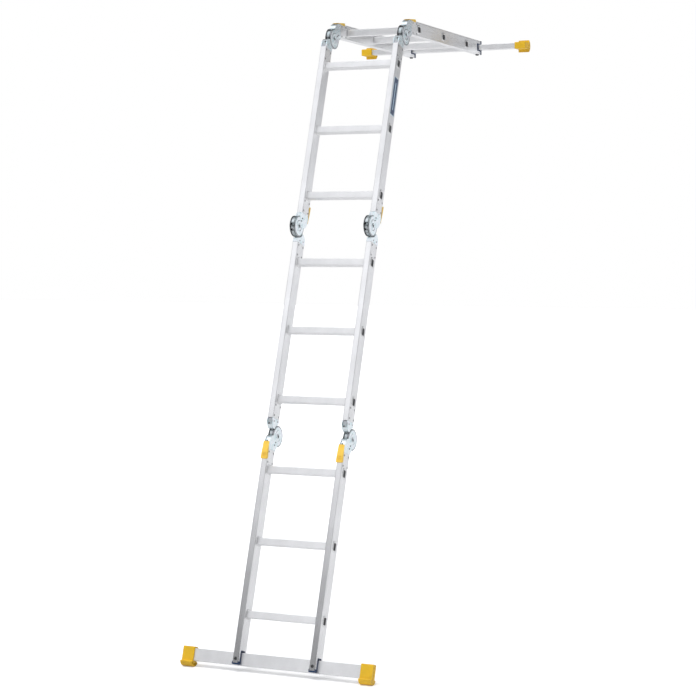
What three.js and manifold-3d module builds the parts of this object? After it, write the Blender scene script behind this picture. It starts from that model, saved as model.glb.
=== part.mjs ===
// A folding multi position ladder: four sections of three rungs, joined by three pairs of locking hinges.
// Units are millimetres, +Z is up, +X is the climber's right, and +Y points to the wall the ladder leans on.
// Each section is drawn in the ladder's own frame: x across, u (as Y) from front to back, v (as Z) along it.
import * as THREE from "three";
import { mergeVertices } from "three/addons/utils/BufferGeometryUtils.js";
import Module from "manifold-3d";

// ---- Driving dimensions ----
const rungPitch = 280;
const rungsPerSection = 3;
const leanAngle = THREE.MathUtils.degToRad(18.5); // from upright
const platformFold = THREE.MathUtils.degToRad(71.5); // top section's fold from straight, which makes it level
const ladderWidth = 342;
const clearance = 0.3; // between pieces that touch or enter each other

const stile = { width: 24, depth: 60, wall: 1.8, corner: 3, footOverhang: 186 };
const rung = { size: 28, wall: 1.5, corner: 3 };
const tread = { grooves: 5, pitch: 4, grooveWidth: 1.8, grooveDepth: 0.8 };
const notch = { halfWidth: 13.5, depth: 46 }; // slot in a stile's foot end, for the stabiliser bar
const cap = { lining: 1.9, sole: 2.7, plugLength: 30 };
const bar = { thickness: 22, height: 48, wall: 1.8, corner: 2, topGap: 3.5 };
const foot = { overallWidth: 800, length: 57, endWall: 4, halfDepth: 14.5, top: 5.7, chamfer: 2, floor: 0.5 };
const sole = { drop: 21.5, radius: 29, facets: 2, flareHalfDepth: 26.6 };

const pivotOffset = 37.5; // from the stile's middle plane to the hinge pivot
const stileGap = 62; // from the hinge pivot to the end of each stile
const plate = { radius: 42, thickness: 2.6, wall: 4 };
const disc = { radius: 40.5, gap: 0.8, halfThickness: 6, webHalfThickness: 2.2, rimWidth: 10, hubRadius: 14 };
const shoulder = { width: 27.5, discTop: -4, discRise: 46, armFoot: 20, armRise: 35, armFrontEnd: 36 };
const neck = { rearAngle: 1.75, frontAngle: 2.68, root: 4 }; // it joins the disc to the arm, round the pivot
const tang = { length: 63, root: 17, thickness: 2.6, edgeGap: 0.6, sideGap: 0.4 };
const pivotPin = { radius: 8, headRadius: 11.5, headHeight: 1.7, rimHeight: 1.1, rimWidth: 0.8 };
const pinDish = { radius: 4, depth: 0.4 }; // the hollow in the middle of a pivot pin's head
const lockPin = { radius: 4, angle: THREE.MathUtils.degToRad(218), lift: 0.5, travel: 9, seat: 7, gap: 0.4 };
const lockFolds = [0, 71.5, 147, 180].map(THREE.MathUtils.degToRad);
const lockNotch = { width: 9.2, depth: 7 };
const grip = { start: 33, length: 70, thinEnd: 3, thickEnd: 6.6, lip: 8, crown: 5, chamfer: 1.2 };
const flange = { depth: 6, thickness: 1.6, chamfer: 3, slope: 12 };
const web = { halfThickness: 3, start: 3, end: 15, depth: 9, slotDepth: 16, slotEnd: 2, lug: 7, lugFlat: 3 };

// Half the number of flats in each arc or full circle.
const roundSegments = 14;
const boreSegments = 7;
const pinSegments = 6;
const arcSegments = 4;
const slotSegments = 3;
const cornerSegments = 1;

const weld = 0.5; // how far pieces of one solid run into each other
const overshoot = 1; // how far a cutting tool runs past the piece that it cuts
const leastCorner = 0.6; // smallest radius inside a tube

// ---- Derived sizes ----
const sectionPitch = rungPitch * rungsPerSection;
const stileX = (ladderWidth - stile.width) / 2;
const halfWidth = stile.width / 2;
const halfDepth = stile.depth / 2;
const firstPivot = rungPitch * (rungsPerSection - 0.5);
const nearFace = halfDepth - pivotOffset; // stile faces, seen from the pivot
const farFace = -halfDepth - pivotOffset;
const shoulderEnd = stileGap - clearance;
const plateInner = halfWidth - plate.thickness;
const wallReach = plateInner + weld;
const tangOuter = halfWidth - stile.wall - tang.sideGap;
const sweepRadius = plate.radius + 2 * disc.gap; // the arm's shoulder stays outside this
const pinReach = disc.radius + lockPin.radius + lockPin.lift;
const pinAt = new THREE.Vector2(Math.cos(lockPin.angle), Math.sin(lockPin.angle)).multiplyScalar(pinReach);

// ---- Materials ----
const finish = (color, roughness, metalness) =>
  new THREE.MeshStandardMaterial({ color, roughness, metalness, flatShading: true });
const materials = {
  stile: () => finish(0xdfe1e4, 0.38, 0.9),
  rung: () => finish(0xd9dbde, 0.4, 0.9),
  zinc: () => finish(0xc6d6dc, 0.3, 0.95),
  lever: () => finish(0xf4c23c, 0.45, 0),
  foot: () => finish(0xd4ab22, 0.6, 0),
  cap: () => finish(0x0a3a66, 0.5, 0),
};

// ---- Solids ----
const wasm = await Module();
wasm.setup();

function solid(geometry) {
  const bare = geometry.clone();
  bare.deleteAttribute("normal");
  bare.deleteAttribute("uv");
  const merged = mergeVertices(bare, 1e-4);
  const mesh = new wasm.Mesh({
    numProp: 3,
    vertProperties: merged.attributes.position.array,
    triVerts: new Uint32Array(merged.index.array),
  });
  return new wasm.Manifold(mesh);
}

function geometryOf(body) {
  const { vertProperties, triVerts } = body.getMesh();
  const geometry = new THREE.BufferGeometry();
  geometry.setAttribute("position", new THREE.BufferAttribute(vertProperties, 3));
  geometry.setIndex(new THREE.BufferAttribute(triVerts, 1));
  return geometry;
}

const join = (...bodies) => bodies.reduce((whole, body) => whole.add(body));
const cut = (body, ...tools) => tools.reduce((left, tool) => left.subtract(tool), body);

// A shape drawn in (u, v), as thick as the span from x = low to x = high.
const acrossBasis = new THREE.Matrix4().makeBasis(
  new THREE.Vector3(0, 1, 0),
  new THREE.Vector3(0, 0, 1),
  new THREE.Vector3(1, 0, 0),
);
function slab(shape, low, high, curveSegments = arcSegments) {
  const geometry = new THREE.ExtrudeGeometry(shape, { depth: high - low, bevelEnabled: false, curveSegments });
  return solid(geometry.translate(0, 0, low).applyMatrix4(acrossBasis));
}
const centredSlab = (shape, halfThickness, curveSegments) =>
  slab(shape, -halfThickness, halfThickness, curveSegments);
const platePair = (shape, inner, outer, curveSegments) =>
  join(slab(shape, inner, outer, curveSegments), slab(shape, -outer, -inner, curveSegments));

function block(xLow, xHigh, uLow, uHigh, vLow, vHigh) {
  const geometry = new THREE.BoxGeometry(xHigh - xLow, uHigh - uLow, vHigh - vLow);
  return solid(geometry.translate((xLow + xHigh) / 2, (uLow + uHigh) / 2, (vLow + vHigh) / 2));
}

function polygon(points) {
  return new THREE.Shape(points.map(([u, v]) => new THREE.Vector2(u, v)));
}

function rectangle(uLow, uHigh, vLow, vHigh) {
  return polygon([[uLow, vLow], [uHigh, vLow], [uHigh, vHigh], [uLow, vHigh]]);
}

function circle(radius, u = 0, v = 0) {
  return new THREE.Shape().absarc(u, v, radius, 0, 2 * Math.PI);
}

// Part of a disc's rim, as a closed wedge-shaped outline between two radii.
function sector(inner, outer, from, to) {
  const shape = new THREE.Shape().absarc(0, 0, outer, from, to, false);
  shape.absarc(0, 0, inner, to, from, true);
  return shape;
}

function roundedRectangle(width, height, radius) {
  const [w, h] = [width / 2 - radius, height / 2 - radius];
  const shape = new THREE.Shape();
  shape.absarc(w, h, radius, 0, Math.PI / 2);
  shape.absarc(-w, h, radius, Math.PI / 2, Math.PI);
  shape.absarc(-w, -h, radius, Math.PI, 1.5 * Math.PI);
  shape.absarc(w, -h, radius, 1.5 * Math.PI, 2 * Math.PI);
  return shape;
}

function tubeShape(width, height, radius, wall) {
  const shape = roundedRectangle(width, height, radius);
  const innerRadius = Math.max(radius - wall, leastCorner);
  shape.holes.push(roundedRectangle(width - 2 * wall, height - 2 * wall, innerRadius));
  return shape;
}

// A slot with round ends, along v.
function slot(u, vLow, vHigh, radius) {
  const shape = new THREE.Shape().absarc(u, vHigh, radius, 0, Math.PI);
  return shape.absarc(u, vLow, radius, Math.PI, 2 * Math.PI);
}

// ---- Ladder frame pieces ----

// One stile: a rectangular tube with a square hole for each rung, and at a foot end a slot for the bar.
function stileSolid(vLow, vHigh, rungHeights, notchEnd) {
  const profile = tubeShape(stile.width, stile.depth, stile.corner, stile.wall);
  const options = { depth: vHigh - vLow, bevelEnabled: false, curveSegments: cornerSegments };
  const tube = new THREE.ExtrudeGeometry(profile, options);
  const holeHalf = rung.size / 2 + clearance;
  const holes = rungHeights.map((v) =>
    block(-stile.width, stile.width, -holeHalf, holeHalf, v - holeHalf, v + holeHalf));
  let body = cut(solid(tube.translate(0, 0, vLow)), ...holes);
  if (notchEnd) {
    const end = notchEnd < 0 ? vLow : vHigh;
    const inside = end - notchEnd * notch.depth;
    const gap = [Math.min(end, inside), Math.max(end, inside)];
    gap[notchEnd < 0 ? 0 : 1] += notchEnd * overshoot;
    body = body.subtract(block(-stile.width, stile.width, -notch.halfWidth, notch.halfWidth, ...gap));
  }
  return body;
}

// The rung's outline: a square tube with a ribbed tread on its top and bottom faces.
function rungSolid() {
  const half = rung.size / 2;
  const groove = (k) => (k - (tread.grooves - 1) / 2) * tread.pitch;
  const shape = new THREE.Shape();
  const edge = half - rung.corner;
  shape.absarc(edge, -edge, rung.corner, -Math.PI / 2, 0);
  shape.absarc(edge, edge, rung.corner, 0, Math.PI / 2);
  for (let k = tread.grooves - 1; k >= 0; k--) {
    shape.lineTo(groove(k) + tread.grooveWidth / 2, half);
    shape.lineTo(groove(k), half - tread.grooveDepth);
    shape.lineTo(groove(k) - tread.grooveWidth / 2, half);
  }
  shape.absarc(-edge, edge, rung.corner, Math.PI / 2, Math.PI);
  shape.absarc(-edge, -edge, rung.corner, Math.PI, 1.5 * Math.PI);
  for (let k = 0; k < tread.grooves; k++) {
    shape.lineTo(groove(k) - tread.grooveWidth / 2, -half);
    shape.lineTo(groove(k), tread.grooveDepth - half);
    shape.lineTo(groove(k) + tread.grooveWidth / 2, -half);
  }
  const inside = rung.size - 2 * (rung.wall + tread.grooveDepth);
  shape.holes.push(rectangle(-inside / 2, inside / 2, -inside / 2, inside / 2));
  return centredSlab(shape, ladderWidth / 2, cornerSegments);
}

// The plastic cap of a stile's foot end: it lines the slot and plugs the two prongs beside it.
// Drawn for a lower end, with v = 0 at the end of the metal.
function capSolid() {
  const outer = notch.halfWidth - clearance;
  const inner = outer - cap.lining;
  const top = notch.depth - clearance;
  const lining = polygon([
    [-halfDepth, -cap.sole], [-inner, -cap.sole], [-inner, top - cap.lining], [inner, top - cap.lining],
    [inner, -cap.sole], [halfDepth, -cap.sole], [halfDepth, -clearance], [outer, -clearance],
    [outer, top], [-outer, top], [-outer, -clearance], [-halfDepth, -clearance],
  ]);
  const plugEdge = halfDepth - stile.wall - 2 * clearance;
  const plugHalf = halfWidth - stile.wall - 2 * clearance;
  const plugs = [-1, 1].map((side) => {
    const span = [side * (outer - weld), side * plugEdge].sort((a, b) => a - b);
    return block(-plugHalf, plugHalf, ...span, -cap.sole / 2, cap.plugLength);
  });
  return join(centredSlab(lining, halfWidth), ...plugs);
}

// The bar lies across the feet of both stiles. Drawn for a lower end, from the end of the stile's metal.
const barTop = notch.depth - clearance - cap.lining - bar.topGap;
const barMiddle = barTop - bar.height / 2;
const barLength = foot.overallWidth - 2 * foot.endWall - 2 * clearance;
function barSolid() {
  const profile = tubeShape(bar.thickness, bar.height, bar.corner, bar.wall);
  return centredSlab(profile, barLength / 2, cornerSegments).translate(0, 0, barMiddle);
}

// A foot: a socket over the bar's end, and below it a flared sole whose underside is an arc of flats.
// Each flat is turned by the lean angle from the next, so that one lies on the floor.
function footSolid(side) {
  const soleLevel = barMiddle - bar.height / 2 - sole.drop;
  const centre = soleLevel + sole.radius;
  const corner = sole.radius / Math.cos(leanAngle / 2);
  const arc = [];
  for (let k = -sole.facets - 1; k <= sole.facets; k++) {
    const angle = (k + 0.5) * leanAngle;
    arc.push([corner * Math.sin(angle), centre - corner * Math.cos(angle)]);
  }
  const bodyTop = barTop + foot.top;
  const bodyFoot = barMiddle - bar.height / 2 - foot.floor;
  const flareLevel = centre - Math.sqrt(corner ** 2 - sole.flareHalfDepth ** 2);
  const outline = polygon([
    [-foot.halfDepth, bodyTop - foot.chamfer], [-foot.halfDepth, bodyFoot],
    [-sole.flareHalfDepth, flareLevel], ...arc, [sole.flareHalfDepth, flareLevel],
    [foot.halfDepth, bodyFoot], [foot.halfDepth, bodyTop - foot.chamfer],
    [foot.halfDepth - foot.chamfer, bodyTop], [foot.chamfer - foot.halfDepth, bodyTop],
  ]);
  const outerX = side * foot.overallWidth / 2;
  const innerX = outerX - side * foot.length;
  const [low, high] = [Math.min(outerX, innerX), Math.max(outerX, innerX)];
  const socketEnd = outerX - side * foot.endWall;
  const [socketLow, socketHigh] = side > 0 ? [low - overshoot, socketEnd] : [socketEnd, high + overshoot];
  const socketShape = roundedRectangle(
    bar.thickness + 2 * clearance, bar.height + 2 * clearance, bar.corner + clearance);
  const socket = slab(socketShape, socketLow, socketHigh, cornerSegments).translate(0, 0, barMiddle);
  return cut(slab(outline, low, high), socket);
}

// ---- Hinge pieces ----
// All are drawn from the pivot, with the stiles on the -u side, the disc half's stile below and the arm
// half's stile above. Placing a hinge turns this drawing round.

// Outline of the disc half's shoulder. A positive inset gives the inside of its front wall.
function discShoulder(inset) {
  const middle = shoulder.discTop - shoulder.discRise;
  const shape = new THREE.Shape();
  shape.moveTo(farFace + inset, -shoulderEnd);
  shape.lineTo(farFace + inset, middle);
  shape.absellipse(farFace + shoulder.width, middle, shoulder.width - inset, shoulder.discRise - inset,
    Math.PI, Math.PI / 2, true);
  shape.lineTo(0, shoulder.discTop - inset);
  shape.lineTo(0, -plate.radius);
  shape.lineTo(nearFace, -shoulderEnd);
  return shape;
}

function tangPlates(direction) {
  const ends = [shoulderEnd - tang.root, stileGap + tang.length];
  const span = ends.map((v) => v * direction).sort((a, b) => a - b);
  const inset = stile.wall + tang.edgeGap;
  const shape = rectangle(farFace + inset, nearFace - inset, ...span);
  return platePair(shape, tangOuter - tang.thickness, tangOuter);
}

function hingeDiscSolid() {
  const plates = join(
    platePair(circle(plate.radius), plateInner, halfWidth, roundSegments),
    platePair(discShoulder(0), plateInner, halfWidth),
  );
  const sweep = centredSlab(circle(disc.radius + disc.gap), halfWidth, roundSegments);
  const shell = cut(centredSlab(discShoulder(0), wallReach), centredSlab(discShoulder(plate.wall), halfWidth));
  const rearSpacer = block(
    -wallReach, wallReach, nearFace - plate.wall, nearFace, -shoulderEnd, plate.wall - sweepRadius);
  const spacers = cut(join(shell, rearSpacer), sweep);
  const webSlotHalf = web.halfThickness + 2 * clearance;
  const webSlot = block(-webSlotHalf, webSlotHalf, farFace - overshoot, farFace + web.slotDepth,
    -shoulderEnd - overshoot, web.slotEnd - grip.start);
  const pinSlot = slot(
    pinAt.x, pinAt.y - lockPin.travel - lockPin.gap, pinAt.y + lockPin.seat, lockPin.radius + lockPin.gap);
  return cut(
    join(plates, spacers, tangPlates(-1)),
    webSlot,
    centredSlab(pinSlot, stile.width, slotSegments),
    centredSlab(circle(pivotPin.radius + clearance), stile.width, boreSegments),
  );
}

// The disc that turns between the plates, with a thinned web and a notch for each position it locks in.
function lockDisc() {
  const recessTop = disc.halfThickness + overshoot;
  const recess = cut(
    platePair(circle(disc.radius - disc.rimWidth), disc.webHalfThickness, recessTop, boreSegments),
    centredSlab(circle(disc.hubRadius), halfWidth, boreSegments),
  );
  const notchHalf = lockNotch.width / 2;
  const notches = lockFolds.map((fold) => {
    const shape = rectangle(disc.radius - lockNotch.depth, plate.radius, -notchHalf, notchHalf);
    return centredSlab(shape, halfWidth).rotate(THREE.MathUtils.radToDeg(lockPin.angle + fold), 0, 0);
  });
  return cut(centredSlab(circle(disc.radius), disc.halfThickness, roundSegments), recess, ...notches);
}

function hingeArmSolid() {
  const middle = shoulder.armFoot + shoulder.armRise;
  const outline = new THREE.Shape();
  outline.moveTo(nearFace, shoulderEnd);
  outline.lineTo(farFace, shoulderEnd);
  outline.lineTo(farFace, middle);
  outline.absellipse(farFace + shoulder.width, middle, shoulder.width, shoulder.armRise,
    Math.PI, 1.5 * Math.PI, false);
  outline.lineTo(nearFace, shoulder.armFoot);
  const sweep = centredSlab(circle(sweepRadius), stile.width, roundSegments);
  const cheeks = cut(platePair(outline, plateInner, halfWidth), sweep);

  const neckSector = (inner, outer) => sector(inner, outer, neck.rearAngle, neck.frontAngle);
  const yoke = centredSlab(neckSector(sweepRadius, sweepRadius + plate.wall), wallReach, slotSegments);
  const bridge = centredSlab(
    neckSector(disc.radius - neck.root, sweepRadius + plate.wall / 2), disc.halfThickness, slotSegments);
  const frontWall = centredSlab(outline, wallReach).intersect(block(
    -stile.width, stile.width, farFace, farFace + shoulder.width, shoulder.armFoot, shoulder.armFrontEnd));
  const hollow = new THREE.Shape();
  hollow.absellipse(farFace + shoulder.width, middle, shoulder.width - plate.wall,
    shoulder.armRise - plate.wall, Math.PI, 1.5 * Math.PI, false);
  hollow.lineTo(nearFace, shoulder.armFoot + plate.wall);
  hollow.lineTo(nearFace, shoulderEnd);
  hollow.lineTo(farFace + plate.wall, shoulderEnd);
  const front = cut(frontWall, centredSlab(hollow, halfWidth), sweep);
  const rearWall = block(-wallReach, wallReach, nearFace - plate.wall, nearFace, sweepRadius, shoulderEnd);
  const bore = centredSlab(circle(pivotPin.radius + clearance), stile.width, boreSegments);
  return cut(join(lockDisc(), bridge, yoke, cheeks, front, rearWall, tangPlates(1)), bore);
}

function pivotPinGeometry() {
  const seat = halfWidth + clearance;
  const outside = seat + pivotPin.headHeight;
  const half = [
    [pivotPin.radius, seat],
    [pivotPin.headRadius, seat],
    [pivotPin.headRadius, seat + pivotPin.rimHeight],
    [pivotPin.headRadius - pivotPin.rimWidth, outside],
    [pinDish.radius, outside - pinDish.depth],
    [0, outside - pinDish.depth],
  ];
  const mirrored = half.map(([r, x]) => [r, -x]).reverse();
  const profile = [...mirrored, ...half].map(([r, x]) => new THREE.Vector2(r, x));
  return new THREE.LatheGeometry(profile, 2 * boreSegments).rotateZ(-Math.PI / 2);
}

function lockPinGeometry() {
  const length = stile.width - 2 * clearance;
  return new THREE.CylinderGeometry(lockPin.radius, lockPin.radius, length, 2 * pinSegments)
    .rotateZ(Math.PI / 2).translate(0, pinAt.x, pinAt.y);
}

// The release lever: a grip on the stile's face with a flange down each side, and a web to the lock pin.
function leverSolid() {
  const back = farFace - clearance;
  const [start, end] = [-grip.start, -grip.start - grip.length];
  const thick = back - grip.thickEnd;
  const thin = back - grip.thinEnd;
  const gripShape = polygon([
    [back, start], [back, end], [thick + grip.chamfer, end], [thick, end + grip.chamfer],
    [thick, end + grip.lip], [thin, start - grip.crown], [back - grip.thinEnd / 2, start],
  ]);
  const inside = halfWidth + clearance;
  const outside = inside + flange.thickness;
  const edge = farFace + flange.depth;
  const flangeShape = polygon([
    [back - weld, start], [edge - flange.chamfer, start - flange.chamfer], [edge, start - flange.slope],
    [edge, end + flange.slope], [edge - flange.chamfer, end + flange.chamfer], [back - weld, end],
  ]);
  const webShape = polygon([
    [back - weld, start - web.start], [back - weld, start - web.end], [farFace + web.depth, start - web.end],
    [pinAt.x + web.lugFlat, pinAt.y - web.lug], [pinAt.x + web.lug, pinAt.y - web.lugFlat],
    [pinAt.x, pinAt.y + web.lug], [pinAt.x - web.lug, pinAt.y + web.lugFlat],
  ]);
  const clearedWeb = cut(
    centredSlab(webShape, web.halfThickness),
    centredSlab(circle(disc.radius + disc.gap), stile.width, roundSegments),
    centredSlab(circle(lockPin.radius + clearance, pinAt.x, pinAt.y), stile.width, pinSegments),
  );
  return join(centredSlab(gripShape, outside), platePair(flangeShape, inside, outside), clearedWeb);
}

// ---- Assembly ----
const ladder = new THREE.Group();
const leaning = new THREE.Group();
leaning.rotation.x = -leanAngle;
ladder.add(leaning);

function place(name, geometry, material, parent, x = 0, v = 0, turn = [0, 0]) {
  const mesh = new THREE.Mesh(geometry, material());
  mesh.name = name;
  mesh.position.set(x, 0, v);
  mesh.rotation.set(turn[0], turn[1], 0);
  parent.add(mesh);
  return mesh;
}

// The top section is folded back about its hinge pivot; the others stand in one line.
const sections = [0, 1, 2, 3].map((index) => {
  const section = new THREE.Group();
  if (index === 3) {
    const pivot = firstPivot + 2 * sectionPitch;
    const hinge = new THREE.Group();
    hinge.position.set(0, pivotOffset, pivot);
    hinge.rotation.x = -platformFold;
    section.position.set(0, -pivotOffset, -pivot);
    hinge.add(section);
    leaning.add(hinge);
  } else {
    leaning.add(section);
  }
  return section;
});

const sides = [["left", -1], ["right", 1]];
const lowerEnd = -stile.footOverhang;
const upperEnd = sectionPitch * sections.length - rungPitch + stile.footOverhang;

sections.forEach((section, index) => {
  const rungHeights = Array.from({ length: rungsPerSection }, (_, k) => index * sectionPitch + k * rungPitch);
  const low = index === 0 ? lowerEnd : firstPivot + (index - 1) * sectionPitch + stileGap;
  const high = index === 3 ? upperEnd : firstPivot + index * sectionPitch - stileGap;
  const notchEnd = { 0: -1, 3: 1 }[index];
  const stileGeometry = geometryOf(stileSolid(low, high, rungHeights, notchEnd));
  for (const [side, sign] of sides) {
    place(`stile_${index + 1}_${side}`, stileGeometry, materials.stile, section, sign * stileX);
  }
});

const rungGeometry = geometryOf(rungSolid());
for (let k = 0; k < sections.length * rungsPerSection; k++) {
  const name = `rung_${String(k + 1).padStart(2, "0")}`;
  place(name, rungGeometry, materials.rung, sections[Math.floor(k / rungsPerSection)], 0, k * rungPitch);
}

// The stabiliser bar, its feet and the stile caps, at the bottom and, turned over, at the top.
const capGeometry = geometryOf(capSolid());
const barGeometry = geometryOf(barSolid());
for (const [end, section, v, turnedOver] of [
  ["lower", sections[0], lowerEnd, false],
  ["upper", sections[3], upperEnd, true],
]) {
  const turn = [0, turnedOver ? Math.PI : 0];
  place(`stabiliser_bar_${end}`, barGeometry, materials.stile, section, 0, v, turn);
  for (const [side, sign] of sides) {
    place(`stile_cap_${end}_${side}`, capGeometry, materials.cap, section, sign * stileX, v, turn);
    const footGeometry = geometryOf(footSolid(turnedOver ? -sign : sign));
    place(`stabiliser_foot_${end}_${side}`, footGeometry, materials.foot, section, 0, v, turn);
  }
}

// The hinges. The disc half, with the lever, is on the lower section of the first hinge pair and on the
// upper section of the other two; the pivot lies behind the stiles, but in front of them on the second.
const discGeometry = geometryOf(hingeDiscSolid());
const armGeometry = geometryOf(hingeArmSolid());
const leverGeometry = geometryOf(leverSolid());
const hinges = [
  { name: "hinge_12", discSection: 0, armSection: 1, turn: [0, 0], back: 1 },
  { name: "hinge_23", discSection: 2, armSection: 1, turn: [Math.PI, 0], back: -1 },
  { name: "hinge_34", discSection: 3, armSection: 2, turn: [0, Math.PI], back: 1 },
];
hinges.forEach(({ name, discSection, armSection, turn, back }, index) => {
  const v = firstPivot + index * sectionPitch;
  for (const [side, sign] of sides) {
    const pieces = [
      ["disc_half", discGeometry, materials.zinc, discSection],
      ["arm_half", armGeometry, materials.zinc, armSection],
      ["pivot_pin", pivotPinGeometry(), materials.zinc, discSection],
      ["lock_pin", lockPinGeometry(), materials.zinc, discSection],
      ["release_lever", leverGeometry, materials.lever, discSection],
    ];
    for (const [piece, geometry, material, section] of pieces) {
      const nodeName = `${name}_${side}_${piece}`;
      const mesh = place(nodeName, geometry, material, sections[section], sign * stileX, v, turn);
      mesh.position.y = back * pivotOffset;
    }
  }
});

// The origin is under the middle of the ladder, on the floor.
const extent = new THREE.Box3().setFromObject(ladder, true);
const centre = extent.getCenter(new THREE.Vector3());
ladder.position.set(-centre.x, -centre.y, -extent.min.z);

export default ladder;
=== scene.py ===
"""Looks of the multi position ladder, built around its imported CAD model.

Every piece is drawn in millimetres in the frame of its section or hinge: x across the ladder, u from front to
back and v along the section. The frames themselves are read from the CAD nodes.
"""

import math

import bmesh
import bpy
from mathutils import Matrix, Vector


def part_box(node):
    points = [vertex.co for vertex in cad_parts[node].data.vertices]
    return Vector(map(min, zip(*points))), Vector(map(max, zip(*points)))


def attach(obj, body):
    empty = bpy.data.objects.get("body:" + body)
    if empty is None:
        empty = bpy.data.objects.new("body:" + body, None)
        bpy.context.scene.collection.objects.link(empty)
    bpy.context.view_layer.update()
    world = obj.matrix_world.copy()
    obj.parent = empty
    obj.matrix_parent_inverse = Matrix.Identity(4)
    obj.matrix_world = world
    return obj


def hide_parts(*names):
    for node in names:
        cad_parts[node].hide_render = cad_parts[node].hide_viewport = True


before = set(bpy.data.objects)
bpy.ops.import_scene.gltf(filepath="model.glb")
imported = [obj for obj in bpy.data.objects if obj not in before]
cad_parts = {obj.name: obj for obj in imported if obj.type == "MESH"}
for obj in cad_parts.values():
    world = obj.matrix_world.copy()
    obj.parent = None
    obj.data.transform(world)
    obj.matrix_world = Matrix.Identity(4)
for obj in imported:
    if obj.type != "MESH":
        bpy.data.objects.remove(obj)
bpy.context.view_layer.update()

MM = 0.001
SIDES = (("left", -1), ("right", 1))
SECTIONS = (1, 2, 3, 4)
RUNGS_PER_SECTION = 3

# ---- Sizes, in millimetres ----
# Steps of a drawn corner and of a circle, and how far cutting tools reach to both sides of a hinge.
CORNER_STEPS = 6
ROUND_STEPS = 96
BEYOND = 20

# Stiles: the tube, the holes for the rungs, and the slot for the bar at a foot end.
STILE_WIDTH = 24
STILE_WALL = 1.8
STILE_CORNER = 3.2
HOLE_CLEARANCE = 0.3
NOTCH_HALF_WIDTH = 13.5
NOTCH_DEPTH = 46

# Rungs: a square tube with grooves along its two treads.
RUNG_SIZE = 28
RUNG_CORNER = 3
RUNG_BORE = 23.4
RUNG_BORE_CORNER = 1.5
TREAD_GROOVES = 5
TREAD_PITCH = 4
GROOVE_WIDTH = 1.9
GROOVE_DEPTH = 0.8
GROOVE_TAPER = 0.4

# Rung ends. A profile is (how far outside the opening or the rung, x).
RIM_OPENING = (20.5, 27.5)
RIM_CORNER = 3.5
RIM_PROFILE = [
    (0, -1.2), (0, 0.5), (0.7, 1.2), (2.0, 1.75), (3.6, 1.9), (5.4, 1.6), (6.8, 0.9), (7.4, 0.1), (7.2, -0.2)]
COLLAR_PROFILE = [(-0.1, -0.2), (-0.1, 1.8), (0.7, 2.6), (2.2, 2.8), (3.7, 2.3), (4.7, 1.1), (4.9, -0.2)]
PLUG_GAP = 0.3
PLUG_CORNER = 3.2
PLUG_LEAST_CORNER = 0.6
PLUG_STEM = (20, 22.6)
PLUG_STEM_END = -9
PLUG_PROFILE = [(0, -0.2), (0, 0.5), (-0.5, 0.95), (-1.6, 1.05), (-2.6, 0.8), (-3.4, 0.45), (-5.5, 0.3)]

# Hinges, measured from the pivot: the stile's two faces in u, and its end in v.
NEAR_FACE = -7.5
FAR_FACE = -67.5
STILE_GAP = 62

# The disc half: its shoulder and its two plates.
SHOULDER_END = 61.7
SHOULDER_WIDTH = 27.5
SHOULDER_STEPS = 28
DISC_TOP = -4
DISC_RISE = 46
PLATE_RADIUS = 42
PLATE_INNER = 9.4
PLATE_OUTER = 12
PLATE_WALL = 4
SHOULDER_HEEL = (4, 1.5 - PLATE_RADIUS)
WELD = 0.5
SIDE_SLOT_TILT = math.radians(8)

# The plates' rims, the raised ring round the pivot, and the radii of the dark rings that paint the shade in
# the gap under the rims.
RIM_ROLL = 1.8
RIM_ROLL_STEPS = 8
RIM_WIDTH = 6
RIM_LIFT = 0.1
RIM_SLOPE = 0.6
RIM_GAP = 0.4
BEAD_RADIUS = 21
BEAD_PROFILE = [
    (-3.9, -0.6), (-3.9, 0), (-2.9, 0.45), (-1.5, 0.85), (0, 1), (1.5, 0.85), (2.9, 0.45), (3.9, 0),
    (3.9, -0.6)]
GAP_SHADE_RING_RADII = (38, 40.7)

# The arm half and its locking disc.
ARM_FOOT = 20
ARM_RISE = 35
ARM_STEPS = 24
YOKE_START = 1.75
YOKE_END = 2.68
DISC_RADIUS = 40.5
DISC_HALF = 6
DISC_GAP = 0.8
SWEEP_RADIUS = 43.6
WEB_HALF = 2.2
WEB_RADIUS = 30.5
HUB_RADIUS = 14
RECESS_DEPTH = 5
RECESS_PLATE = 2
RECESS_START = 34

# Both halves: the tangs in the stiles and the bore for the pivot.
TANG_OUTER = 9.8
TANG_THICKNESS = 2.6
TANG_LENGTH = 63
TANG_OVERLAP = 4
TANG_GAP = 0.6
PIVOT_RADIUS = 8.3

# The lock pin and its notches (angles in radians), and the lever's grip.
LOCK_ANGLE = math.radians(218)
LOCK_FOLDS = [math.radians(fold) for fold in (0, 71.5, 147, 180)]
LOCK_PIN_RADIUS = 4
LOCK_REACH = 45
LOCK_PLACE = (LOCK_REACH * math.cos(LOCK_ANGLE), LOCK_REACH * math.sin(LOCK_ANGLE))
NOTCH_REACH = 7
NOTCH_HALF = 4.6
GRIP_START = 33
GRIP_LENGTH = 70
GRIP_HALF = 13.3
GRIP_GROOVES = 5
GRIP_GROOVE_PITCH = 3.6
GRIP_GROOVE_HALF = 0.6

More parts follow.
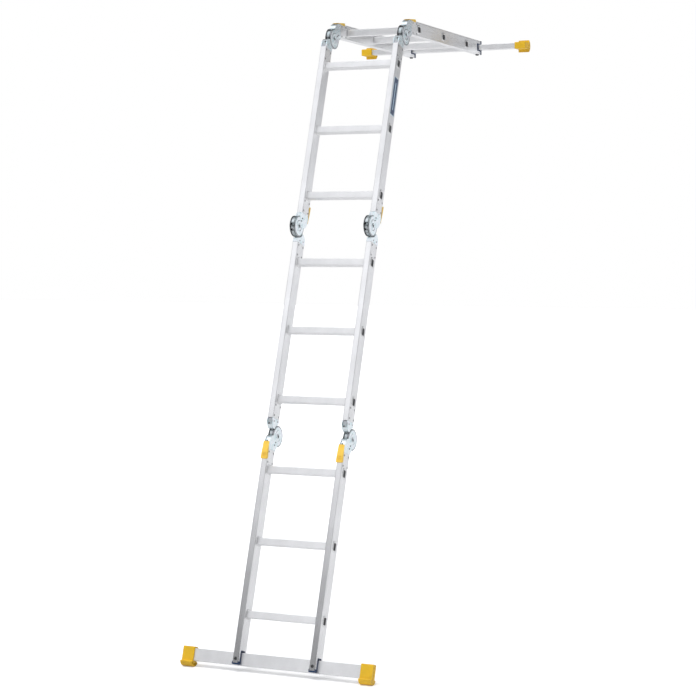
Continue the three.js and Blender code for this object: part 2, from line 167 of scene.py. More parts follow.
# Turned pieces. A profile is (radius, x).
PIVOT_HEAD = [
    (8, 12.3), (10.2, 12.35), (10.4, 12.7), (10.1, 13.2), (9.3, 13.65), (8.2, 13.9), (7.2, 13.8), (6.5, 13.4),
    (6.1, 12.7), (6, 11.6), (0, 11.5)]
# The end of a dark plug in the pivot rivet's bore, that paints the shade of its hollow.
PIVOT_SHADE_PLUG_END = [(5.9, 12), (5.6, 12.5), (5, 12.7), (2.2, 12.75), (1.6, 12.3), (0, 12.2)]
RIVET_HEAD = [
    (4.1, -0.4), (4.1, 0.2), (3.9, 0.55), (3.3, 0.95), (2.5, 1.15), (1.9, 1.1), (1.6, 0.8), (1.5, 0.3),
    (0, 0.3)]
RIVET_MANDREL = [(1.45, 0.2), (1.45, 0.45), (1.1, 0.6), (0, 0.62)]

# Rivets at the stile ends.
RIVET_INSETS = (10.5, 51)
RIVET_U = 20

# Foot ends: bar, caps, bolts and feet.
BAR_THICKNESS = 22
BAR_HEIGHT = 48
BAR_WALL = 1.8
BAR_TOP = 40.3
BAR_MIDDLE = BAR_TOP - BAR_HEIGHT / 2
BAR_LENGTH = 779
CAP_SOLE = 5.2
CAP_LINING = 1.9
CAP_HALF = 12
LIP_INNER = 11.5
LIP_OUTER = 13
LIP_WIDTH = 3.2
LIP_BEND = 3
LIP_LOW = 6
LIP_REACH = 30.6
BOLT_LEVEL = 16
FOOT_LENGTH = 49
FOOT_HALF_DEPTH = 14.5
FOOT_TOP = 5.7
FOOT_END_WALL = 4
SOCKET_GAP = 0.6
OVERALL = 788
SOLE_RADIUS = 29
SOLE_DROP = 21.5
SOLE_HALF_DEPTH = 26.6
LEAN = math.radians(18.5)

# Sticker.
STICKER_WIDTH = 40
STICKER_HEIGHT = 160
STICKER_CORNER = 6
STICKER_BORDER = 2
STICKER_BAR_HALF = 2.5
STICKER_BAR_INSET = 22
STICKER_LEVEL = 417.5


# ---- Frames ----
def node_points(node):
    return [vertex.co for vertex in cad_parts[node].data.vertices]


def centre_of(node):
    low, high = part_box(node)
    return (low + high) / 2


def rung_name(number):
    return f"rung_{number:02d}"


def frame_matrix(origin, u, v):
    """A frame with the columns x, u and v."""
    x = u.cross(v)
    matrix = Matrix((x, u, v)).transposed().to_4x4()
    matrix.translation = origin
    return matrix


def section_frame(section):
    """Origin at the section's lowest rung."""
    first = RUNGS_PER_SECTION * (section - 1) + 1
    origin = centre_of(rung_name(first))
    v = (centre_of(rung_name(first + RUNGS_PER_SECTION - 1)) - origin).normalized()
    u = v.cross(Vector((1, 0, 0)))
    return frame_matrix(origin, u, v)


section_frames = {section: section_frame(section) for section in SECTIONS}


def span(node, section, axis):
    """How far a CAD node reaches along an axis (0 x, 1 u, 2 v) of its section's frame, in millimetres."""
    to_section = section_frames[section].inverted()
    values = [(to_section @ point)[axis] / MM for point in node_points(node)]
    return min(values), max(values)


def hinge_frame(hinge, side, section):
    """Origin on the pivot, with the stiles on the -u side and the disc half's stile below."""
    turn = {"12": (1, 1), "23": (-1, -1), "34": (1, -1)}[hinge]
    columns = section_frames[section].to_3x3().transposed()
    origin = centre_of(f"hinge_{hinge}_{side}_pivot_pin")
    return frame_matrix(origin, columns[1] * turn[0], columns[2] * turn[1])


# ---- Outlines ----
def arc(centre, radii, start, end, steps):
    """Points of an elliptical arc, both ends included."""
    angles = [start + (end - start) * k / steps for k in range(steps + 1)]
    return [(centre[0] + radii[0] * math.cos(a), centre[1] + radii[1] * math.sin(a)) for a in angles]


def circle(radius, centre=(0, 0), steps=ROUND_STEPS):
    return arc(centre, (radius, radius), 0, 2 * math.pi, steps)[:-1]


def rectangle(low_a, high_a, low_b, high_b):
    return [(low_a, low_b), (high_a, low_b), (high_a, high_b), (low_a, high_b)]


def rounded_rectangle(width, height, radius, steps=CORNER_STEPS):
    points = []
    for quarter, (sign_a, sign_b) in enumerate(((1, 1), (-1, 1), (-1, -1), (1, -1))):
        corner = (sign_a * (width / 2 - radius), sign_b * (height / 2 - radius))
        start = quarter * math.pi / 2
        points += arc(corner, (radius, radius), start, start + math.pi / 2, steps)
    return points


def slot_outline(centre_a, low_b, high_b, radius, steps=12):
    upper = arc((centre_a, high_b), (radius, radius), 0, math.pi, steps)
    return upper + arc((centre_a, low_b), (radius, radius), math.pi, 2 * math.pi, steps)


# ---- Meshes ----
def new_mesh(name, build):
    """A mesh in metres, from a function that fills a bmesh in millimetres."""
    made = bmesh.new()
    build(made)
    bmesh.ops.remove_doubles(made, verts=made.verts, dist=1e-4)
    bmesh.ops.recalc_face_normals(made, faces=made.faces)
    bmesh.ops.scale(made, vec=(MM, MM, MM), verts=made.verts)
    mesh = bpy.data.meshes.new(name)
    made.to_mesh(mesh)
    made.free()
    return mesh


ACROSS = Matrix(((0, 0, 1), (1, 0, 0), (0, 1, 0))).to_4x4()  # an outline's (a, b, depth) to (u, v, x)


def add_loft(made, rings, matrix=None, closed=False):
    """A solid through rings of equally many points, with flat ends, or closed from last ring to first."""
    matrix = matrix or Matrix.Identity(4)
    loops = [[made.verts.new(matrix @ Vector(point)) for point in ring] for ring in rings]
    for lower, upper in zip(loops, loops[1:] + loops[:1] if closed else loops[1:]):
        for k in range(len(lower)):
            made.faces.new((lower[k - 1], lower[k], upper[k], upper[k - 1]))
    if not closed:
        made.faces.new(loops[0])
        made.faces.new(loops[-1])


def flat_ring(outline, depth):
    return [(a, b, depth) for a, b in outline]


def slab(outline, low, high, name="slab"):
    """An outline in (u, v), as thick as the span from x = low to x = high."""
    rings = [flat_ring(outline, low), flat_ring(outline, high)]
    return new_mesh(name, lambda made: add_loft(made, rings, ACROSS))


def upright(outline, low, high, name="upright"):
    """An outline in (x, u), drawn out from v = low to v = high."""
    rings = [flat_ring(outline, low), flat_ring(outline, high)]
    return new_mesh(name, lambda made: add_loft(made, rings))


def block(low, high, name="block"):
    return upright(rectangle(low[0], high[0], low[1], high[1]), low[2], high[2], name)


def turned(profile, name="turned", steps=48, centre=(0, 0)):
    """A solid turned about the x axis through a centre in (u, v). The profile is (radius, x)."""

    def build(made):
        inner = [(max(radius, 1e-3), x) for radius, x in profile]
        rings = [flat_ring(circle(radius, centre, steps), x) for radius, x in inner]
        add_loft(made, rings, ACROSS)

    return new_mesh(name, build)


def new_object(name, data):
    """An object, placed in the scene."""
    made = bpy.data.objects.new(name, data)
    bpy.context.scene.collection.objects.link(made)
    return made


def combine(mesh, tools, operation):
    """A mesh joined with others, or cut by them."""
    body = new_object("body", mesh)
    others = [new_object("tool", tool) for tool in tools]
    for other in others:
        modifier = body.modifiers.new("combine", "BOOLEAN")
        modifier.operation = operation
        modifier.solver = "MANIFOLD"
        modifier.object = other
    bpy.context.view_layer.update()
    result = bpy.data.meshes.new_from_object(body.evaluated_get(bpy.context.evaluated_depsgraph_get()))
    for item in (body, *others):
        bpy.data.objects.remove(item)
    result.name = mesh.name
    return result


def join(mesh, *tools):
    return combine(mesh, tools, "UNION")


def cut(mesh, *tools):
    return combine(mesh, tools, "DIFFERENCE")


def overlap(mesh, *tools):
    return combine(mesh, tools, "INTERSECT")


def pair(make):
    """A slab drawn by make(low, high) between the plates' inner and outer planes, on both sides."""
    return join(make(PLATE_INNER, PLATE_OUTER), make(-PLATE_OUTER, -PLATE_INNER))


def merged(meshes, name):
    """Separate solids in one mesh."""
    made = bmesh.new()
    for mesh, matrix in meshes:
        copy = mesh.copy()
        copy.transform(matrix)
        made.from_mesh(copy)
        bpy.data.meshes.remove(copy)
    mesh = bpy.data.meshes.new(name)
    made.to_mesh(mesh)
    made.free()
    return mesh

FLAT_ANGLE = math.radians(1)
BEVEL_ANGLE = math.radians(35)
SHARP_ANGLE = math.radians(50)
def rounded(mesh, width, segments=2, weld=0.002):
    """The mesh with its sharp edges rounded and its shading smooth over gentle turns."""
    made = bmesh.new()
    made.from_mesh(mesh)
    bmesh.ops.remove_doubles(made, verts=made.verts, dist=weld * MM)
    bmesh.ops.dissolve_limit(
        made, angle_limit=FLAT_ANGLE, verts=made.verts, edges=made.edges, delimit={"NORMAL"})
    made.to_mesh(mesh)
    made.free()
    if width:
        holder = new_object("holder", mesh)
        bevel = holder.modifiers.new("bevel", "BEVEL")
        bevel.width = width * MM
        bevel.segments = segments
        bevel.limit_method = "ANGLE"
        bevel.angle_limit = BEVEL_ANGLE
        bevel.use_clamp_overlap = False
        bevel.miter_outer = "MITER_ARC"
        bpy.context.view_layer.update()
        graph = bpy.context.evaluated_depsgraph_get()
        smooth = bpy.data.meshes.new_from_object(holder.evaluated_get(graph))
        smooth.name = mesh.name
        bpy.data.objects.remove(holder)
        mesh = smooth
    for polygon in mesh.polygons:
        polygon.use_smooth = True
    mesh.set_sharp_from_angle(angle=SHARP_ANGLE)
    return mesh


def add_piece(name, mesh, matrix, body, slot, look, replaces=()):
    """Puts a mesh in the scene as a piece that rides on a CAD body."""
    piece = new_object(name, mesh)
    piece.matrix_world = matrix
    mesh.materials.clear()
    mesh.materials.append(materials[look])
    normals = piece.modifiers.new("flat faces", "WEIGHTED_NORMAL")
    normals.keep_sharp = True
    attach(piece, body)
    if replaces:
        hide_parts(*replaces)
    return piece


def section_body(section):
    return f"section_{section}"


# ---- Materials ----
NOISE_LOW = 0.3
NOISE_HIGH = 0.7
NOISE_ROUGHNESS = 0.55
class Shading:
    """A small helper that adds nodes to one material, or to the world."""

    def __init__(self, owner, shader="Principled BSDF"):
        self.material = owner
        owner.use_nodes = True
        self.tree = owner.node_tree
        self.shader = self.tree.nodes[shader]

    def node(self, kind, **values):
        made = self.tree.nodes.new(kind)
        for key, value in values.items():
            setattr(made, key, value)
        return made

    def link(self, source, target):
        self.tree.links.new(source, target)

    def coordinates(self, scale):
        """Object coordinates, scaled, in 1/m."""
        source = self.node("ShaderNodeTexCoord")
        mapping = self.node("ShaderNodeMapping")
        mapping.inputs["Scale"].default_value = scale
        self.link(source.outputs["Object"], mapping.inputs["Vector"])
        return mapping.outputs["Vector"]

    def noise(self, scale, detail=3.0):
        texture = self.node("ShaderNodeTexNoise")
        texture.inputs["Scale"].default_value = 1.0
        texture.inputs["Detail"].default_value = detail
        texture.inputs["Roughness"].default_value = NOISE_ROUGHNESS
        self.link(self.coordinates(scale), texture.inputs["Vector"])
        return texture.outputs["Fac"]

    def ramp(self, factor, stops):
        """A colour ramp from (position, colour) stops."""
        made = self.node("ShaderNodeValToRGB")
        elements = made.color_ramp.elements
        while len(elements) < len(stops):
            elements.new(0.5)
        for element, (position, colour) in zip(elements, stops):
            element.position = position
            element.color = (*colour, 1)
        self.link(factor, made.inputs["Fac"])
        return made.outputs["Color"]

    def range(self, factor, low, high, start=NOISE_LOW, end=NOISE_HIGH, kind="LINEAR"):
        """A value from low to high, while the factor goes from start to end."""
        made = self.node("ShaderNodeMapRange", interpolation_type=kind)
        limits = {"From Min": start, "From Max": end, "To Min": low, "To Max": high}
        for key, value in limits.items():
            made.inputs[key].default_value = value
        self.link(factor, made.inputs["Value"])
        return made.outputs["Result"]

    def compute(self, operation, *values):
        """A math node. Each value is a number or another node's output."""
        made = self.node("ShaderNodeMath", operation=operation)
        for socket, value in zip(made.inputs, values):
            if isinstance(value, (int, float)):
                socket.default_value = value
            else:
                self.link(value, socket)
        return made.outputs[0]

    def surface(self, paint, gloss=None):
        self.link(paint, self.shader.inputs["Base Color"])
        if gloss:
            self.link(gloss, self.shader.inputs["Roughness"])

    def blend(self, factor, low, high):
        """A colour from low to high, over most of a noise's range."""
        return self.ramp(factor, [(NOISE_LOW, low), (NOISE_HIGH, high)])

    def bump(self, height, distance, strength):
        """A relief on the surface, as high as the distance in metres."""
        made = self.node("ShaderNodeBump")
        made.inputs["Strength"].default_value = strength
        made.inputs["Distance"].default_value = distance
        self.link(height, made.inputs["Height"])
        self.link(made.outputs["Normal"], self.shader.inputs["Normal"])

    def set(self, **values):
        for key, value in values.items():
            self.shader.inputs[key.replace("_", " ")].default_value = value


def grey(value):
    return (value, value, value)


def aluminium(name, tone, roughness, along="Z"):
    """Mill finish extrusion: blotches, and fine lines along it that stretch its gloss across them."""
    shading = Shading(bpy.data.materials.new(name))
    stretch = {"Z": (900, 900, 4), "X": (4, 900, 900)}[along]
    lines = shading.noise(stretch, detail=4)
    blotches = shading.noise((14, 14, 9), detail=4)
    paint = shading.blend(blotches, grey(tone * 0.93), grey(min(tone * 1.04, 1)))
    shading.surface(paint, shading.range(lines, roughness - 0.06, roughness + 0.08))
    shading.bump(lines, 0.00004, 0.5)
    tangent = shading.node("ShaderNodeTangent", direction_type="RADIAL", axis=along)
    shading.link(tangent.outputs["Tangent"], shading.shader.inputs["Tangent"])
    shading.set(Metallic=1.0, Anisotropic=0.9)
    return shading.material


def zinc(name, tone):
    """Zinc plate: pale blue silver with the faint rainbow blotches of its passivation."""
    shading = Shading(bpy.data.materials.new(name))
    clouds = shading.noise((60, 60, 60), detail=3)
    tints = [
        (0.25, (0.62 * tone, 0.80 * tone, 0.84 * tone)),
        (0.42, (0.82 * tone, 0.93 * tone, 0.96 * tone)),
        (0.55, (0.93 * tone, 0.99 * tone, 1.01 * tone)),
        (0.68, (0.90 * tone, 0.90 * tone, 0.99 * tone)),
        (0.80, (0.95 * tone, 0.98 * tone, 0.92 * tone)),
    ]
    grain = shading.noise((700, 700, 700), detail=3)
    shading.surface(shading.ramp(clouds, tints), shading.range(grain, 0.2, 0.34))
    shading.bump(grain, 0.00006, 0.35)
    shading.set(Metallic=1.0)
    return shading.material


def plastic(name, colour, roughness, mottle=0.06):
    """Moulded plastic or rubber: fine spark grain, slight mottling and uneven gloss."""
    shading = Shading(bpy.data.materials.new(name))
    patches = shading.noise((30, 30, 30), detail=3)
    grain = shading.noise((1400, 1400, 1400), detail=2)
    low = tuple(channel * (1 - mottle) for channel in colour)
    high = tuple(min(channel * (1 + mottle), 1) for channel in colour)
    gloss = shading.range(patches, roughness - 0.06, roughness + 0.08)
    shading.surface(shading.blend(patches, low, high), gloss)
    shading.bump(grain, 0.00006, 0.6)
    return shading.material


def steel(name, tone, roughness):
    """Plain or plated steel: small lighter and darker marks, some glossier than others."""
    shading = Shading(bpy.data.materials.new(name))
    marks = shading.noise((500, 500, 500), detail=4)
    paint = shading.blend(marks, grey(tone * 0.8), grey(tone * 1.1))
    shading.surface(paint, shading.range(marks, roughness - 0.05, roughness + 0.1))
    shading.bump(marks, 0.00005, 0.5)
    shading.set(Metallic=1.0)
    return shading.material


STICKER_FIELD = (0.003, 0.03, 0.1)
STICKER_PALE = (0.5, 0.72, 0.85)


def sticker_material(name):
    """A plain two colour sticker: a dark blue field, a pale border and one pale bar along it."""
    shading = Shading(bpy.data.materials.new(name))
    source = shading.node("ShaderNodeTexCoord")
    split = shading.node("ShaderNodeSeparateXYZ")
    shading.link(source.outputs["Object"], split.inputs[0])

    def beyond(axis, limit):
        """1 where the coordinate is further from the middle than the limit, and 0 elsewhere."""
        return shading.compute("GREATER_THAN", shading.compute("ABSOLUTE", split.outputs[axis]), limit * MM)

    half_width = STICKER_WIDTH / 2
    half_height = STICKER_HEIGHT / 2
    side_edges = beyond("Y", half_width - STICKER_BORDER)
    end_edges = beyond("Z", half_height - STICKER_BORDER)
    near_middle = shading.compute("SUBTRACT", 1, beyond("Y", STICKER_BAR_HALF))
    off_ends = shading.compute("SUBTRACT", 1, beyond("Z", half_height - STICKER_BAR_INSET))
    bar = shading.compute("MULTIPLY", near_middle, off_ends)
    pale = shading.compute("MAXIMUM", shading.compute("MAXIMUM", side_edges, end_edges), bar)
    paint = shading.ramp(pale, [(0.4, STICKER_FIELD), (0.6, STICKER_PALE)])
    film = shading.noise((200, 200, 200))
    shading.surface(paint, shading.range(film, 0.25, 0.36))
    shading.bump(film, 0.00002, 0.5)
    return shading.material


materials = {
    "stile": aluminium("stile_aluminium", 0.87, 0.3),
    "rung": aluminium("rung_aluminium", 0.97, 0.42, along="X"),
    "bar": aluminium("bar_aluminium", 0.88, 0.45, along="X"),
    "rim": steel("swaged_aluminium", 0.8, 0.28),
    "zinc": zinc("zinc_plate", 0.85),
    # A darker copy of the plates' zinc: painted shade on the locking disc and on the plate in the arm's
    # recess.
    "disc": zinc("zinc_painted_shade", 0.5),
    # A darker copy of the plates' zinc: painted shade on the plates' rims.
    "plate_rim": zinc("zinc_rim_painted_shade", 0.42),
    "rivet": steel("rivet_steel", 0.42, 0.34),
    # Dark steel, for the rivets' mandrels and some rivet heads and bolts, and for the dark pieces that paint
    # shade in the hinges.
    "mandrel": steel("dark_steel", 0.09, 0.42),
    "lever": plastic("lever_yellow", (0.93, 0.60, 0.075), 0.42),
    "foot": plastic("foot_yellow", (0.76, 0.46, 0.012), 0.5, mottle=0.08),
    "cap": plastic("cap_blue", (0.002, 0.024, 0.085), 0.5),
    "plug": plastic("plug_black", (0.018, 0.018, 0.02), 0.5),
    "sticker": sticker_material("sticker_blue"),
}


# ---- Stiles ----
def stile_mesh(section, side):
    """A rounded rectangular tube with its rung holes, and at a foot end the slot for the bar."""
    node = f"stile_{section}_{side}"
    (x_low, x_high), (u_low, u_high), (low, high) = (span(node, section, axis) for axis in range(3))
    width, depth = x_high - x_low, u_high - u_low
    outside = rounded_rectangle(width, depth, STILE_CORNER)
    inside = rounded_rectangle(width - 2 * STILE_WALL, depth - 2 * STILE_WALL, STILE_CORNER - STILE_WALL)
    mesh = cut(upright(outside, low, high, node), upright(inside, low - 1, high + 1))
    half = RUNG_SIZE / 2 + HOLE_CLEARANCE
    pitch = (centre_of(rung_name(2)) - centre_of(rung_name(1))).length / MM
    holes = []
    for k in range(RUNGS_PER_SECTION):
        holes.append(block((-width, -half, k * pitch - half), (width, half, k * pitch + half)))
    foot_end = {1: low, 4: high}.get(section)
    if foot_end is not None:
        ends = sorted((foot_end, foot_end + math.copysign(NOTCH_DEPTH, -foot_end)))
        ends[0 if foot_end < 0 else 1] += math.copysign(1, foot_end)
        holes.append(block((-width, -NOTCH_HALF_WIDTH, ends[0]), (width, NOTCH_HALF_WIDTH, ends[1])))
    return rounded(cut(mesh, *holes), 0.35), (x_low + x_high) / 2, (low, high)


stile_ends = {}
for section in SECTIONS:
    for side, _ in SIDES:
        node = f"stile_{section}_{side}"
        mesh, middle, ends = stile_mesh(section, side)
        stile_ends[section, side] = (middle, ends)
        matrix = section_frames[section] @ Matrix.Translation((middle * MM, 0, 0))
        add_piece(
            f"{node}_tube", mesh, matrix, section_body(section), "stile_aluminium", "stile", [node])


# ---- Rungs, with their rims, collars and plugs ----
def tread(half):
    """The grooved line of a tread face, from one side to the other, as (u, v) points."""
    points = []
    top = GROOVE_WIDTH / 2
    bottom = top * GROOVE_TAPER
    for k in range(TREAD_GROOVES):
        middle = (k - (TREAD_GROOVES - 1) / 2) * TREAD_PITCH
        points += [(middle - top, half), (middle - bottom, half - GROOVE_DEPTH)]
        points += [(middle + bottom, half - GROOVE_DEPTH), (middle + top, half)]
    return points


def rung_mesh(half_length):
    half = RUNG_SIZE / 2
    edge = half - RUNG_CORNER
    quarter = math.pi / 2

    def corner(sign_u, sign_v, turns):
        centre = (sign_u * edge, sign_v * edge)
        return arc(centre, (RUNG_CORNER, RUNG_CORNER), turns * quarter, (turns + 1) * quarter, CORNER_STEPS)

    outline = corner(1, -1, -1) + corner(1, 1, 0) + tread(half)[::-1] + corner(-1, 1, 1) + corner(-1, -1, 2)
    outline += [(u, -v) for u, v in tread(half)]
    bore = rounded_rectangle(RUNG_BORE, RUNG_BORE, RUNG_BORE_CORNER)
    body = slab(outline, -half_length, half_length, "rung_tube")
    return rounded(cut(body, slab(bore, -half_length - 1, half_length + 1)), 0)


def swept_ring(profile, size, corner, name):
    """A ring round a rounded rectangle, from a profile of (how far outside it, x) that closes on itself."""
    rings = []
    for out, x in profile:
        rings.append(flat_ring(rounded_rectangle(size[0] + 2 * out, size[1] + 2 * out, corner + out), x))
    return rounded(new_mesh(name, lambda made: add_loft(made, rings, ACROSS, True)), 0)


def plug_mesh():
    """A push-in end plug: a shallow dished face with a rounded rim, on a stem that narrows into the rung."""
    rings = [flat_ring(rounded_rectangle(*PLUG_STEM, PLUG_CORNER), PLUG_STEM_END)]
    for out, x in PLUG_PROFILE:
        width, height = (size - PLUG_GAP + 2 * out for size in RIM_OPENING)
        corner = max(PLUG_CORNER + out, PLUG_LEAST_CORNER)
        rings.append(flat_ring(rounded_rectangle(width, height, corner), x))
    return rounded(new_mesh("rung_plug", lambda made: add_loft(made, rings, ACROSS)), 0)


HALF_TURN = Matrix.Rotation(math.pi, 4, "Z")
rung_low, rung_high = span(rung_name(1), 1, 0)
rung_half = (rung_high - rung_low) / 2
rung_piece = rung_mesh(rung_half)
rim_piece = swept_ring(RIM_PROFILE, RIM_OPENING, RIM_CORNER, "rung_rim")
collar_piece = swept_ring(COLLAR_PROFILE, (RUNG_SIZE, RUNG_SIZE), RUNG_CORNER, "rung_collar")
plug_piece = plug_mesh()
for number in range(1, len(SECTIONS) * RUNGS_PER_SECTION + 1):
    section = (number - 1) // RUNGS_PER_SECTION + 1
    name = rung_name(number)
    matrix = section_frames[section].copy()
    matrix.translation = centre_of(name)
    body = section_body(section)
    add_piece(f"{name}_tube", rung_piece, matrix, body, "rung_aluminium", "rung", [name])
    for side, sign in SIDES:
        outward = matrix if sign > 0 else matrix @ HALF_TURN
        outer = outward @ Matrix.Translation((rung_half * MM, 0, 0))
        inner = outward @ Matrix.Translation(((rung_half - STILE_WIDTH) * MM, 0, 0)) @ HALF_TURN
        add_piece(f"{name}_rim_{side}", rim_piece, outer, body, "rung_aluminium", "rim")
        add_piece(f"{name}_plug_{side}", plug_piece, outer, body, "plug_black", "plug")
        add_piece(f"{name}_collar_{side}", collar_piece, inner, body, "rung_aluminium", "rim")


# ---- Hinges ----
def shoulder_outline(inset):
    """The disc half's rounded shoulder, from its stile up to the disc."""
    centre = (FAR_FACE + SHOULDER_WIDTH, DISC_TOP - DISC_RISE)
    radii = (SHOULDER_WIDTH - inset, DISC_RISE - inset)
    points = [(FAR_FACE + inset, -SHOULDER_END)]
    points += arc(centre, radii, math.pi, math.pi / 2, SHOULDER_STEPS)
    points += [(0, DISC_TOP - inset), SHOULDER_HEEL, (NEAR_FACE, -SHOULDER_END)]
    return points


def tangs(direction):
    """The plates inside the stile that carry the rivets."""
    ends = sorted(direction * v for v in (SHOULDER_END - TANG_OVERLAP, STILE_GAP + TANG_LENGTH))
    inset = STILE_WALL + TANG_GAP
    outline = rectangle(FAR_FACE + inset, NEAR_FACE - inset, *ends)
    inner = TANG_OUTER - TANG_THICKNESS
    return [slab(outline, inner, TANG_OUTER), slab(outline, -TANG_OUTER, -inner)]


def ring_about_pivot(profile, side):
    """A ring shaped solid, from a closed profile of (radius, x) turned about the pivot."""
    rings = [flat_ring(circle(radius), side * x) for radius, x in profile]
    return new_mesh("ring", lambda made: add_loft(made, rings, ACROSS, True))


def plate_rims_mesh():
    """The plates' rims, rounded over at their outer edge, where the shoulder leaves them free."""
    face = PLATE_OUTER + RIM_LIFT
    roll = (PLATE_RADIUS - RIM_ROLL, face - RIM_ROLL)
    step = PLATE_RADIUS - RIM_WIDTH
    profile = arc(roll, (RIM_ROLL, RIM_ROLL), math.pi / 2, 0, RIM_ROLL_STEPS)
    profile += [(PLATE_RADIUS, PLATE_INNER), (step, PLATE_INNER)]
    profile += [(step, PLATE_OUTER), (step + RIM_SLOPE, face)]
    shoulder = slab(shoulder_outline(0), -BEYOND, BEYOND)
    rings = [(cut(ring_about_pivot(profile, side), shoulder), Matrix.Identity(4)) for side in (-1, 1)]
    return rounded(merged(rings, "plate_rims"), 0)


def gap_shade_ring_mesh():
    """Dark rings under the rims of the two plates, that paint the shade in the gap between the plates and the
    disc.
    """
    profile = rectangle(*GAP_SHADE_RING_RADII, DISC_HALF + 0.7, PLATE_INNER + 0.2)
    rings = [(ring_about_pivot(profile, side), Matrix.Identity(4)) for side in (-1, 1)]
    return rounded(merged(rings, "gap_shade_rings"), 0)


def bead(side):
    """The raised ring on a plate, round its pivot."""
    return ring_about_pivot([(BEAD_RADIUS + out, PLATE_OUTER + height) for out, height in BEAD_PROFILE], side)


def pivot_bore():
    return slab(circle(PIVOT_RADIUS, steps=48), -BEYOND, BEYOND)


def disc_half_mesh():
    """Two plates on a hollow shoulder, with tangs, and with slots for the lever's web and the lock pin."""
    wall = PLATE_INNER + WELD
    flat = PLATE_RADIUS - RIM_ROLL - RIM_GAP
    plates = pair(lambda low, high: join(slab(circle(flat), low, high), slab(shoulder_outline(0), low, high)))
    sweep = slab(circle(DISC_RADIUS + DISC_GAP), -PLATE_OUTER, PLATE_OUTER)
    hollow = slab(shoulder_outline(PLATE_WALL), -PLATE_OUTER, PLATE_OUTER)
    shell = cut(slab(shoulder_outline(0), -wall, wall), hollow)
    rear = block((-wall, NEAR_FACE - PLATE_WALL, -SHOULDER_END), (wall, NEAR_FACE, 4 - SWEEP_RADIUS))
    spacers = cut(join(shell, rear), sweep)
    web_slot = block(
        (-3.6, FAR_FACE - 1, -SHOULDER_END - 1), (3.6, FAR_FACE + PLATE_WALL + 12, 5 - GRIP_START))
    side_slot = slab(slot_outline(0, 0, 16, 1.5), -12, 12)
    side_slot.transform(
        Matrix.Translation(Vector((-8.2, FAR_FACE + 10, -34)) * MM)
        @ Matrix.Rotation(SIDE_SLOT_TILT, 4, "Y") @ Matrix.Rotation(math.pi / 2, 4, "Z"))
    groove = PLATE_INNER + 1.4
    u, v = LOCK_PLACE
    pin_slot = slab(slot_outline(u, v - 9.4, v + 7, LOCK_PIN_RADIUS + 0.4), -groove, groove)
    body = join(plates, spacers, *tangs(-1), bead(1), bead(-1))
    return rounded(cut(body, web_slot, side_slot, pin_slot, pivot_bore()), 0.4, weld=0.2)


def lock_disc_mesh():
    """The disc between the plates: a thick rim with a notch for each locking position, and a thinner web."""
    disc = slab(circle(DISC_RADIUS), -DISC_HALF, DISC_HALF, "lock_disc")
    recesses = []
    for side in (-1, 1):
        ends = sorted((side * WEB_HALF, side * (DISC_HALF + 1)))
        recesses.append(cut(slab(circle(WEB_RADIUS), *ends), slab(circle(HUB_RADIUS), -BEYOND, BEYOND)))
    notches = []
    for fold in LOCK_FOLDS:
        outline = rectangle(DISC_RADIUS - NOTCH_REACH, PLATE_RADIUS, -NOTCH_HALF, NOTCH_HALF)
        notch = slab(outline, -BEYOND, BEYOND)
        notch.transform(Matrix.Rotation(LOCK_ANGLE + fold, 4, "X"))
        notches.append(notch)
    return cut(disc, *recesses, *notches)


def arm_outline(inset):
    """The arm half's rounded shoulder, from its stile down to the yoke."""
    centre = (FAR_FACE + SHOULDER_WIDTH, ARM_FOOT + ARM_RISE)
    radii = (SHOULDER_WIDTH - inset, ARM_RISE - inset)
    points = [(NEAR_FACE, SHOULDER_END), (FAR_FACE + inset, SHOULDER_END)]
    points += arc(centre, radii, math.pi, 1.5 * math.pi, ARM_STEPS)
    return points + [(NEAR_FACE, ARM_FOOT + inset)]


def sector(inner, outer, half):
    """The part of a ring about the pivot that joins the arm to its disc."""
    outline = arc((0, 0), (outer, outer), YOKE_START, YOKE_END, ARM_STEPS)
    outline += arc((0, 0), (inner, inner), YOKE_END, YOKE_START, ARM_STEPS)
    return slab(outline, -half, half)


def arm_half_meshes():
    """The arm with its yoke, walls and tangs, the locking disc on its neck, and the plate in the recess."""
    wall = PLATE_INNER + WELD
    edge = SWEEP_RADIUS + 1
    sweep = slab(circle(edge), -BEYOND, BEYOND)
    tip = block((-BEYOND, FAR_FACE - 1, 0), (BEYOND, NEAR_FACE + 1, ARM_FOOT + 1))
    cheeks = cut(pair(lambda low, high: slab(arm_outline(0), low, high)), sweep, tip)
    yoke = cut(sector(edge, SWEEP_RADIUS + PLATE_WALL, wall), tip)
    front_box = block(
        (-BEYOND, FAR_FACE - 1, ARM_FOOT), (BEYOND, FAR_FACE + SHOULDER_WIDTH, RECESS_START + 2))
    front = overlap(slab(arm_outline(0), -wall, wall), front_box)
    front = cut(front, slab(arm_outline(PLATE_WALL), -PLATE_OUTER, PLATE_OUTER), sweep, tip)
    rear = cut(block((-wall, NEAR_FACE - PLATE_WALL, ARM_FOOT), (wall, NEAR_FACE, SHOULDER_END)), sweep)
    arm = rounded(join(cheeks, yoke, front, rear, *tangs(1)), 0.4, weld=0.3)
    neck = sector(DISC_RADIUS - 4, SWEEP_RADIUS + 2, DISC_HALF)
    disc = rounded(cut(join(lock_disc_mesh(), neck), pivot_bore()), 0.4, weld=0.3)
    low_u = FAR_FACE + RECESS_DEPTH
    recess = block((-wall, low_u, RECESS_START), (wall, low_u + RECESS_PLATE, SHOULDER_END))
    return arm, disc, rounded(recess, 0.3)


def both_ends(end):
    """A whole profile of (radius, x), from one end's that runs in to the middle of the end face."""
    return [(radius, -x) for radius, x in reversed(end)] + end


def lock_pin_mesh():
    end = PLATE_INNER + 1.1
    profile = both_ends([(LOCK_PIN_RADIUS, end - 0.6), (3.4, end), (0, end)])
    return rounded(turned(profile, "lock_pin", 32, LOCK_PLACE), 0)


